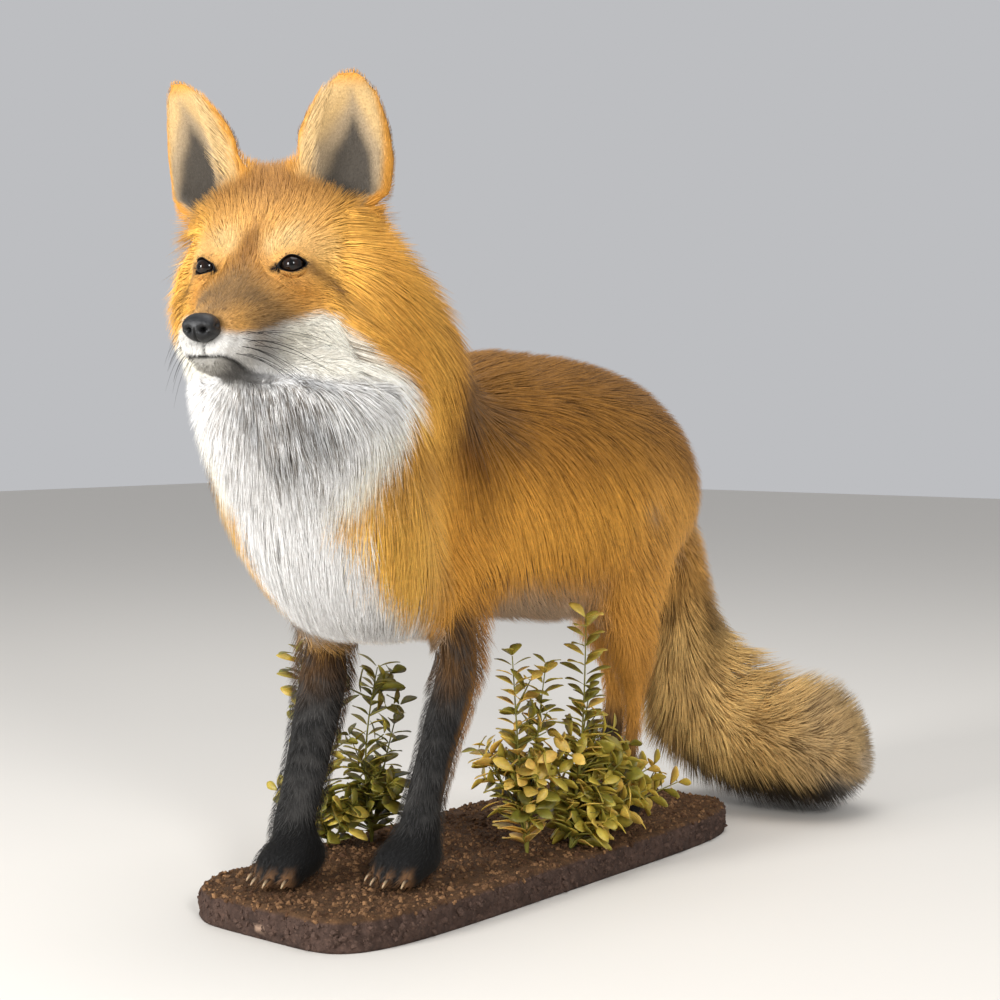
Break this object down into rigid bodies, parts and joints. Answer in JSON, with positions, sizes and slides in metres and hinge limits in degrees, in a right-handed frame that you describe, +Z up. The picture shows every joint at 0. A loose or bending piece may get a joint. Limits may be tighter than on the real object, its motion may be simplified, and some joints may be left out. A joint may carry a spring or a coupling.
{
  "type": "mounted red fox",
  "caption": "Life-size mounted red fox in winter coat, standing with its head turned to its left and its brush curled down behind, on a moulded earth base with sprigs of box.",
  "frame": {"origin": "middle of the underside of the moulded earth base, which rests on the floor", "axes": "+Z up; the fox faces -Y with its tail towards +Y, and its left side is +X"},
  "size_m": [0.2419, 0.7391, 0.584],
  "materials": {
    "fur_red": "red-gold fur",
    "fur_white": "white fur",
    "fur_brush": "tawny fur with dark tips",
    "fur_black": "black fur",
    "nose": "pebbled black skin",
    "eye": "dark brown glass",
    "claw": "horn",
    "earth": "coarse moulded earth",
    "leaf": "preserved leaves"
  },
  "bodies": {
    "root": {"base": "earth", "ear_left": "fur_red", "ear_right": "fur_red", "eye_left": "eye", "eye_right": "eye", "foreleg_left": "fur_black", "foreleg_right": "fur_black", "forepaw_left": "fur_black", "forepaw_left_claw_1": "claw", "forepaw_left_claw_2": "claw", "forepaw_left_claw_3": "claw", "forepaw_left_claw_4": "claw", "forepaw_right": "fur_black", "forepaw_right_claw_1": "claw", "forepaw_right_claw_2": "claw", "forepaw_right_claw_3": "claw", "forepaw_right_claw_4": "claw", "head": "fur_red", "hindleg_left": "fur_red", "hindleg_right": "fur_red", "hindpaw_left": "fur_black", "hindpaw_left_claw_1": "claw", "hindpaw_left_claw_2": "claw", "hindpaw_left_claw_3": "claw", "hindpaw_left_claw_4": "claw", "hindpaw_right": "fur_black", "hindpaw_right_claw_1": "claw", "hindpaw_right_claw_2": "claw", "hindpaw_right_claw_3": "claw", "hindpaw_right_claw_4": "claw", "neck": "fur_white", "nose": "nose", "sprig_1": "leaf", "sprig_2": "leaf", "sprig_3": "leaf", "sprig_4": "leaf", "tail_brush": "fur_brush", "tail_root": "fur_brush", "tail_tip": "fur_white", "trunk": "fur_red"}
  },
  "joints": []
}
